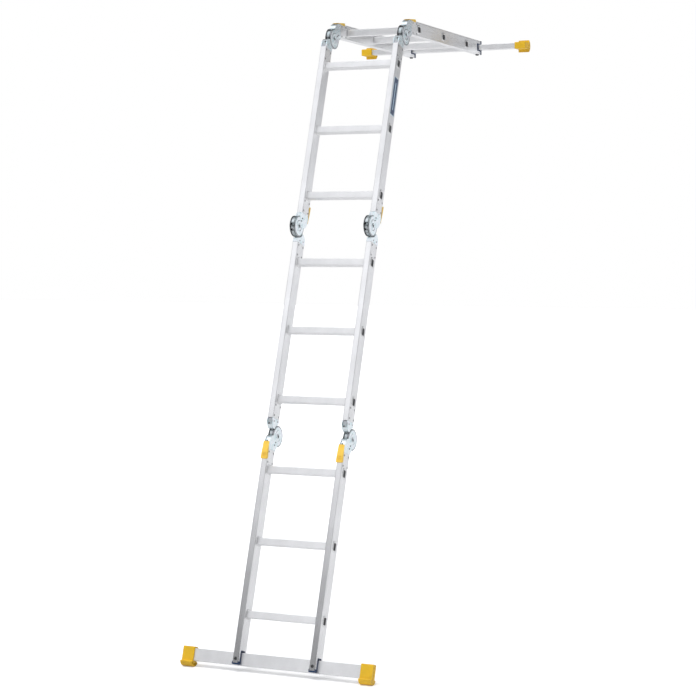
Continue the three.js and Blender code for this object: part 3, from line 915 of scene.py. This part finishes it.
def dome_mesh(name, radius, height, centres, faces):
    """Round rivet heads standing on given x planes, as separate solids."""
    steps = 6
    rim = 0.15
    root = 0.3
    meshes = []
    for centre in centres:
        for face in faces:
            sign = math.copysign(1, face)
            profile = [(radius, face - sign * root), (radius, face + sign * rim)]
            for k in range(1, steps):
                angle = k * math.pi / 2 / steps
                rise = rim + (height - rim) * math.sin(angle)
                profile.append((radius * math.cos(angle), face + sign * rise))
            profile.append((0, face + sign * height))
            meshes.append((turned(profile, name, 20, centre), Matrix.Identity(4)))
    return rounded(merged(meshes, name), 0)


def lever_mesh():
    """A moulded grip that thickens towards its free end, with finger grooves, cheeks and a web to the pin."""
    back = FAR_FACE - 0.3
    start, end = -GRIP_START, -GRIP_START - GRIP_LENGTH
    outline = [(back, start), (back, end), (back - 5.2, end), (back - 6.5, end + 1.4)]
    for t in (0, 0.2, 0.4, 0.6, 0.8, 1):
        thickness = 1.7 + 4.9 * math.cos(t * math.pi / 2) ** 1.5
        outline.append((back - thickness, end + 5 + 60 * t))
    outline.append((back - 1.5, start))
    grip = slab(outline, -GRIP_HALF, GRIP_HALF, "release_lever")
    flange = [
        (back - 1, start - 14), (FAR_FACE - 0.1, start - 20), (FAR_FACE + 4.6, end + 14),
        (FAR_FACE + 5, end + 6), (FAR_FACE + 3, end + 2), (back - 1, end)]
    cheeks = [slab(flange, GRIP_HALF - 1.1, GRIP_HALF), slab(flange, -GRIP_HALF, 1.1 - GRIP_HALF)]
    narrowing = []
    for side in (-1, 1):
        rings = []
        for v, x in ((start + 1, 12.6), (end - 1, 13.4)):
            rings.append(flat_ring(rectangle(*sorted((side * x, side * BEYOND)), back - 12, 0), v))
        narrowing.append(new_mesh("narrowing", lambda made: add_loft(made, rings)))
    u, v = LOCK_PLACE
    web = slab([
        (back - 1, start - 3), (back - 1, start - 15), (FAR_FACE + 9, start - 15), (u + 3, v - 7),
        (u + 7, v - 2), (u, v + 7), (u - 7, v + 3)], -3, 3)
    sweep = slab(circle(DISC_RADIUS + DISC_GAP), -BEYOND, BEYOND)
    web = cut(web, sweep, slab(circle(LOCK_PIN_RADIUS + 0.3, LOCK_PLACE, 32), -BEYOND, BEYOND))
    grooves = []
    for k in range(GRIP_GROOVES):
        middle = end + 8 + GRIP_GROOVE_PITCH * k
        low, high = middle - GRIP_GROOVE_HALF, middle + GRIP_GROOVE_HALF
        grooves.append(block((-9.5, back - 9, low), (9.5, back - 5.7 + 0.16 * k, high)))
    return rounded(cut(join(grip, *cheeks, web), *narrowing, *grooves), 0.6, 3)


disc_half_piece = disc_half_mesh()
arm_piece, lock_disc_piece, recess_piece = arm_half_meshes()
plate_rims = plate_rims_mesh()
gap_shade_rings = gap_shade_ring_mesh()
pivot_piece = rounded(turned(both_ends(PIVOT_HEAD), "pivot_rivet", 64), 0)
pivot_core = rounded(turned(both_ends(PIVOT_SHADE_PLUG_END), "pivot_core", 48), 0)
lock_pin_piece = lock_pin_mesh()
lever_piece = lever_mesh()
both_faces = (PLATE_OUTER, -PLATE_OUTER)
plate_rivets = dome_mesh("plate_rivets", 3.1, 1.4, [(-12.8, -26.4), (-18, -38.6)], both_faces)
arm_rivets = dome_mesh("arm_rivets", 3.2, 1.3, [(-52, 50), (-22, 53)], both_faces)
arm_bolt = dome_mesh("arm_bolt", 3.3, 1.8, [(-3.2, 39)], (0,))
arm_bolt.transform(
    Matrix.Translation((0, (FAR_FACE + RECESS_DEPTH) * MM, 0)) @ Matrix.Rotation(-math.pi / 2, 4, "Z"))

# Each piece: its label, mesh, the half it rides on, its slot, its look and the CAD node that it replaces.
HINGE_PIECES = (
    ("disc_plates", disc_half_piece, "disc", "hinge_zinc", "zinc", "disc_half"),
    ("arm", arm_piece, "arm", "hinge_zinc", "zinc", "arm_half"),
    # The locking disc and the recess plate take the darker zinc, as painted shade.
    ("lock_disc", lock_disc_piece, "arm", "hinge_zinc", "disc", None),
    ("recess_plate", recess_piece, "arm", "hinge_zinc", "disc", None),
    # The rims take the darker zinc, as painted shade.
    ("plate_rims", plate_rims, "disc", "hinge_zinc", "plate_rim", None),
    # Dark rings that paint the shade in the gap under the plates' rims.
    ("gap_shade_rings", gap_shade_rings, "disc", "pin_steel", "mandrel", None),
    # A dark plug in the pivot rivet's bore, as painted shade.
    ("pivot_core", pivot_core, "disc", "pin_steel", "mandrel", None),
    ("pivot_rivet", pivot_piece, "disc", "pin_steel", "zinc", "pivot_pin"),
    ("plate_rivets", plate_rivets, "disc", "pin_steel", "mandrel", None),
    ("arm_rivets", arm_rivets, "arm", "pin_steel", "rivet", None),
    ("arm_bolt", arm_bolt, "arm", "pin_steel", "mandrel", None),
    ("lock_bolt", lock_pin_piece, "lever", "pin_steel", "rivet", "lock_pin"),
    ("lever_grip", lever_piece, "lever", "lever_yellow", "lever", "release_lever"),
)
for hinge, disc_section, arm_section in (("12", 1, 2), ("23", 3, 2), ("34", 4, 3)):
    for side, _ in SIDES:
        name = f"hinge_{hinge}_{side}"
        disc_frame = hinge_frame(hinge, side, disc_section)
        riders = {
            "disc": (disc_frame, section_body(disc_section)),
            "arm": (hinge_frame(hinge, side, arm_section), section_body(arm_section)),
            "lever": (disc_frame, f"lever_{hinge}_{side}"),
        }
        for label, mesh, half, slot, look, node in HINGE_PIECES:
            replaced = [f"{name}_{node}"] if node else []
            add_piece(f"{name}_{label}", mesh, *riders[half], slot, look, replaced)


# ---- Rivets at the stile ends ----
def rivet_places(section, side):
    """The frame of each rivet of a stile, with its x axis pointing out of the stile."""
    middle, (low, high) = stile_ends[section, side]
    rows = []
    if section > 1:
        rows += [low + inset for inset in RIVET_INSETS]
    if section < len(SECTIONS):
        rows += [high - inset for inset in RIVET_INSETS]
    places = []
    for v in rows:
        for u in (-RIVET_U, RIVET_U):
            for outward in (-1, 1):
                place = Matrix.Translation(Vector((middle + outward * STILE_WIDTH / 2, u, v)) * MM)
                places.append(place if outward > 0 else place @ HALF_TURN)
    return places


# Each rivet is a head with a pit, and the end of its mandrel in the pit.
RIVET_PARTS = (
    ("heads", turned(RIVET_HEAD, "blind_rivet", 20), "rivet"),
    ("mandrels", turned(RIVET_MANDREL, "blind_rivet", 20), "mandrel"),
)
for section in SECTIONS:
    for side, _ in SIDES:
        places = rivet_places(section, side)
        for label, piece, look in RIVET_PARTS:
            mesh = rounded(merged([(piece, place) for place in places], f"rivet_{label}"), 0)
            add_piece(
                f"rivet_{label}_{section}_{side}", mesh, section_frames[section], section_body(section),
                "pin_steel", look)


# ---- Foot ends: bars, caps, feet and bolts ----
def foot_frame(end):
    """Origin at the end of the metal of the stiles, with the foot end down."""
    section = {"lower": 1, "upper": 4}[end]
    low, high = stile_ends[section, "left"][1]
    place = section_frames[section] @ Matrix.Translation((0, 0, (low if end == "lower" else high) * MM))
    return place if end == "lower" else place @ Matrix.Rotation(math.pi, 4, "Y")


def bar_mesh():
    outside = rounded_rectangle(BAR_THICKNESS, BAR_HEIGHT, 2.2)
    inside = rounded_rectangle(BAR_THICKNESS - 2 * BAR_WALL, BAR_HEIGHT - 2 * BAR_WALL, 0.8)
    half = BAR_LENGTH / 2
    mesh = rounded(cut(slab(outside, -half, half, "stabiliser_bar"), slab(inside, -half - 1, half + 1)), 0.3)
    mesh.transform(Matrix.Translation((0, 0, BAR_MIDDLE * MM)))
    return mesh


def cap_mesh():
    """A U shaped lining of the slot with a raised lip, a sole under each prong and a plug inside it."""
    outer = NOTCH_HALF_WIDTH - HOLE_CLEARANCE
    inner = outer - CAP_LINING
    top = NOTCH_DEPTH - HOLE_CLEARANCE
    inside = top - CAP_LINING
    edge = HOLE_CLEARANCE
    slot = [(-inner, -CAP_SOLE), (-inner, inside), (inner, inside), (inner, -CAP_SOLE)]
    lining = [(-30, -CAP_SOLE)] + slot + [
        (30, -CAP_SOLE), (30, -edge), (outer, -edge), (outer, top), (-outer, top), (-outer, -edge),
        (-30, -edge)]
    plugs = []
    for side in (-1, 1):
        ends = sorted((side * (outer - 0.5), side * 27.6))
        plugs.append(block((-9.6, ends[0], -1.3), (9.6, ends[1], 30)))
    rim = outer + LIP_WIDTH
    lip = slot + [
        (LIP_REACH, -CAP_SOLE), (LIP_REACH, LIP_LOW), (rim, LIP_LOW), (rim, top),
        (rim - LIP_BEND, top + LIP_BEND), (LIP_BEND - rim, top + LIP_BEND), (-rim, top), (-rim, LIP_LOW),
        (-LIP_REACH, LIP_LOW), (-LIP_REACH, -CAP_SOLE)]
    lips = [slab(lip, LIP_INNER, LIP_OUTER), slab(lip, -LIP_OUTER, -LIP_INNER)]
    return rounded(join(slab(lining, -CAP_HALF, CAP_HALF, "stile_cap"), *plugs, *lips), 0.4, 3)


def sole_outline():
    """The foot's flats, one for each lean of a section, from front to back."""
    centre = BAR_MIDDLE - BAR_HEIGHT / 2 - SOLE_DROP + SOLE_RADIUS
    corner = SOLE_RADIUS / math.cos(LEAN / 2)
    points = []
    for k in range(-3, 3):
        angle = (k + 0.5) * LEAN
        points.append((corner * math.sin(angle), centre - corner * math.cos(angle)))
    flare = centre - math.sqrt(corner ** 2 - SOLE_HALF_DEPTH ** 2)
    return points, flare


def foot_mesh(side):
    """A socket over the bar's end, a flared tread below it with three bores, and dimples in its end."""
    sole, flare = sole_outline()
    level = BAR_MIDDLE - BAR_HEIGHT / 2 - SOLE_DROP
    top = BAR_TOP + FOOT_TOP
    waist = BAR_MIDDLE - BAR_HEIGHT / 2 - 0.5
    left = [
        (-FOOT_HALF_DEPTH + 2, top), (-FOOT_HALF_DEPTH, top - 2), (-FOOT_HALF_DEPTH, waist + 2),
        (-FOOT_HALF_DEPTH - 1.6, waist - 0.6), (-SOLE_HALF_DEPTH + 1.2, flare + 2.2),
        (-SOLE_HALF_DEPTH, flare)]
    outline = left + sole + [(-u, v) for u, v in reversed(left)]
    outer_x = side * OVERALL / 2

    def inwards(start, end):
        """Two x planes, given as distances from the foot's outer end."""
        return sorted((outer_x - side * start, outer_x - side * end))

    opening = rounded_rectangle(BAR_THICKNESS + SOCKET_GAP, BAR_HEIGHT + SOCKET_GAP, 2.3)
    socket = slab(opening, *inwards(FOOT_END_WALL, FOOT_LENGTH + 1))
    socket.transform(Matrix.Translation((0, 0, BAR_MIDDLE * MM)))
    bores = []
    for u, v, radius in ((-13, 11.4, 4.6), (0, 9.2, 4.8), (13, 11.4, 4.6)):
        bores.append(slab(circle(radius, (u, level + v), 32), *inwards(12, FOOT_LENGTH + 1)))
    pit = [(3.2, -1), (3, 0), (2.6, 1.6), (1.6, 2.4), (0, 2.6)]
    dimple = [(radius, outer_x - side * depth) for radius, depth in pit]
    places = ((0, 34), (0, 20), (0, 6), (-8, -8), (8, -8))
    dimples = [turned(dimple, centre=place, steps=24) for place in places]
    boot = rounded(cut(slab(outline, *inwards(0, FOOT_LENGTH), "stabiliser_foot"), socket, *bores), 1.0, 3)
    return rounded(cut(boot, *dimples), 0)


def bolt_mesh():
    """A coach bolt from front to back through the bar: a low round head, and a nut on a washer."""
    head = [(6.5, -29.7), (6.5, -30.4), (6.0, -31.4), (4.6, -32.3), (2.6, -32.9), (0, -33.1)]
    washer = [(8, 29.8), (8, 30.9), (7.7, 31.1), (0, 31.1)]
    shank = [(3, -31), (3, 34), (2.5, 34.5), (0, 34.5)]
    nut = [(6.6, 31.2), (7.2, 31.8), (7.2, 33.6), (6.6, 34.2), (0, 34.2)]
    meshes = []
    for profile, steps in ((head, 32), (washer, 32), (shank, 20), (nut, 6)):
        closed = [(0, profile[0][1])] + profile
        meshes.append((turned(closed, "bolt", steps), Matrix.Rotation(math.pi / 2, 4, "Z")))
    return rounded(merged(meshes, "stabiliser_bolt"), 0)


bar_piece = bar_mesh()
cap_piece = cap_mesh()
bolt_piece = bolt_mesh()
foot_pieces = {side: foot_mesh(side) for side in (-1, 1)}
for end, section in (("lower", 1), ("upper", 4)):
    place = foot_frame(end)
    body = section_body(section)
    bar = f"stabiliser_bar_{end}"
    add_piece(f"{bar}_tube", bar_piece, place, body, "bar_aluminium", "bar", [bar])
    for side, sign in SIDES:
        local = sign if end == "lower" else -sign
        at_stile = place @ Matrix.Translation((local * (rung_half - STILE_WIDTH / 2) * MM, 0, 0))
        at_bolt = at_stile @ Matrix.Translation((0, 0, BOLT_LEVEL * MM))
        cap = f"stile_cap_{end}_{side}"
        foot = f"stabiliser_foot_{end}_{side}"
        add_piece(f"{cap}_shell", cap_piece, at_stile, body, "cap_blue", "cap", [cap])
        add_piece(f"stabiliser_bolt_{end}_{side}", bolt_piece, at_bolt, body, "pin_steel", "mandrel")
        add_piece(f"{foot}_boot", foot_pieces[local], place, body, "foot_yellow", "foot", [foot])


# ---- Sticker ----
sticker_outline = rounded_rectangle(STICKER_WIDTH, STICKER_HEIGHT, STICKER_CORNER)
sticker_piece = rounded(slab(sticker_outline, -0.05, 0.2, "sticker"), 0)
sticker_place = section_frames[3] @ Matrix.Translation((rung_half * MM, 0, STICKER_LEVEL * MM))
add_piece("stile_sticker", sticker_piece, sticker_place, section_body(3), "sticker_blue", "sticker")


# ---- Floor, camera and light, in metres ----
FLOOR_HALF = 40
FLOOR_LEFT = -0.6
FLOOR_RIGHT = 0.6
FLOOR_DIM = 0.25
FLOOR_FADE = (1, 5)
FLOOR_GLOW = (0.3, 0.7)
CAMERA_AZIMUTH = math.radians(24.072)
CAMERA_PITCH = math.radians(-3.101)
CAMERA_FROM_FIRST_RUNG = Vector((2.9743, -6.0615, 1.3792))
KEY_PLACE = Vector((-2.2, -3.2, 7.5))
KEY_TARGET = Vector((0, 0, 1.2))
KEY_SIZE = 3
KEY_POWER = 150

# What metal reflects of the studio: (height of the direction, brightness), in front and behind.
FRONT_GLOW = [
    (0.34, 0.12), (0.395, 0.4), (0.42, 1.02), (0.445, 1.3), (0.52, 1.18), (0.575, 1.22), (0.61, 0.84),
    (0.66, 0.9), (0.73, 1.5), (1, 1.95)]
BACK_GLOW = [
    (-0.1, 1.06), (0.07, 1.12), (0.11, 0.56), (0.15, 0.25), (0.2, 0.05), (0.5, 0.03), (0.8, 0.5), (1, 1)]
GLOW_TINT = (0.99, 1, 1.035)


def plain_floor():
    """A wide pale floor that fades out to white. The light that it sends up is dimmer on the left."""
    made = bmesh.new()
    corners = rectangle(-FLOOR_HALF, FLOOR_HALF, -FLOOR_HALF, FLOOR_HALF)
    made.faces.new([made.verts.new((x, y, 0)) for x, y in corners])
    mesh = bpy.data.meshes.new("floor")
    made.to_mesh(mesh)
    made.free()
    floor = new_object("floor", mesh)
    shading = Shading(bpy.data.materials.new("floor_pale"))
    place = shading.coordinates((1, 1, 1))
    distance = shading.node("ShaderNodeVectorMath", operation="LENGTH")
    shading.link(place, distance.inputs[0])
    split = shading.node("ShaderNodeSeparateXYZ")
    shading.link(place, split.inputs[0])
    to_camera = shading.node("ShaderNodeLightPath").outputs["Is Camera Ray"]
    fade = shading.range(distance.outputs["Value"], *FLOOR_GLOW, *FLOOR_FADE, "SMOOTHSTEP")
    seen = shading.range(to_camera, FLOOR_DIM, 1, 0, 1)
    right = shading.range(split.outputs["X"], 0, 1, FLOOR_LEFT, FLOOR_RIGHT)
    bright = shading.compute("MAXIMUM", right, seen)
    shading.surface(shading.ramp(bright, [(FLOOR_DIM, grey(0.72)), (1, grey(0.94))]))
    glow = shading.compute("MULTIPLY", fade, seen)
    shading.link(glow, shading.shader.inputs["Emission Strength"])
    shading.set(Roughness=0.9, Specular_IOR_Level=0.1, Emission_Color=(1, 1, 1, 1))
    mesh.materials.append(shading.material)


def photo_camera():
    """From the right in front of the ladder, a little above its middle, looking slightly down."""
    data = bpy.data.cameras.new("camera")
    data.sensor_width = 36
    data.lens = 93.89
    data.clip_end = 200
    camera = new_object("camera", data)
    camera.location = centre_of(rung_name(1)) + CAMERA_FROM_FIRST_RUNG
    camera.rotation_euler = (math.pi / 2 + CAMERA_PITCH, 0, CAMERA_AZIMUTH)
    bpy.context.scene.camera = camera


def key_light():
    """A soft light from high on the left in front, which glossy surfaces don't mirror."""
    data = bpy.data.lights.new("key", "AREA")
    data.shape = "RECTANGLE"
    data.size = KEY_SIZE
    data.size_y = KEY_SIZE
    data.energy = KEY_POWER
    light = new_object("key", data)
    light.location = KEY_PLACE
    light.visible_glossy = False
    light.rotation_euler = (KEY_TARGET - KEY_PLACE).to_track_quat("-Z", "Y").to_euler()


def studio_world():
    """A studio that is white to the camera, and that metal mirrors as a glow that changes with height."""
    world = bpy.data.worlds.new("studio")
    bpy.context.scene.world = world
    shading = Shading(world, "Background")
    split = shading.node("ShaderNodeSeparateXYZ")
    shading.link(shading.node("ShaderNodeTexCoord").outputs["Generated"], split.inputs[0])
    height = shading.range(split.outputs["Z"], 0, 1, -1, 1)
    behind = shading.range(split.outputs["Y"], 0, 1, -0.2, 0.2, "SMOOTHSTEP")

    def brightness(stops):
        tinted = [((z + 1) / 2, [value * tint for tint in GLOW_TINT]) for z, value in stops]
        return shading.ramp(height, tinted)

    mix = shading.node("ShaderNodeMix", data_type="RGBA")
    shading.link(behind, mix.inputs["Factor"])
    shading.link(brightness(FRONT_GLOW), mix.inputs["A"])
    shading.link(brightness(BACK_GLOW), mix.inputs["B"])
    shading.link(mix.outputs["Result"], shading.shader.inputs["Color"])
    seen = shading.node("ShaderNodeBackground")
    seen.inputs["Color"].default_value = (1, 1, 1, 1)
    either = shading.node("ShaderNodeMixShader")
    shading.link(shading.node("ShaderNodeLightPath").outputs["Is Camera Ray"], either.inputs[0])
    shading.link(shading.shader.outputs[0], either.inputs[1])
    shading.link(seen.outputs[0], either.inputs[2])
    shading.link(either.outputs[0], shading.tree.nodes["World Output"].inputs["Surface"])


plain_floor()
photo_camera()
studio_world()
key_light()
bpy.context.scene.view_settings.view_transform = "Standard"
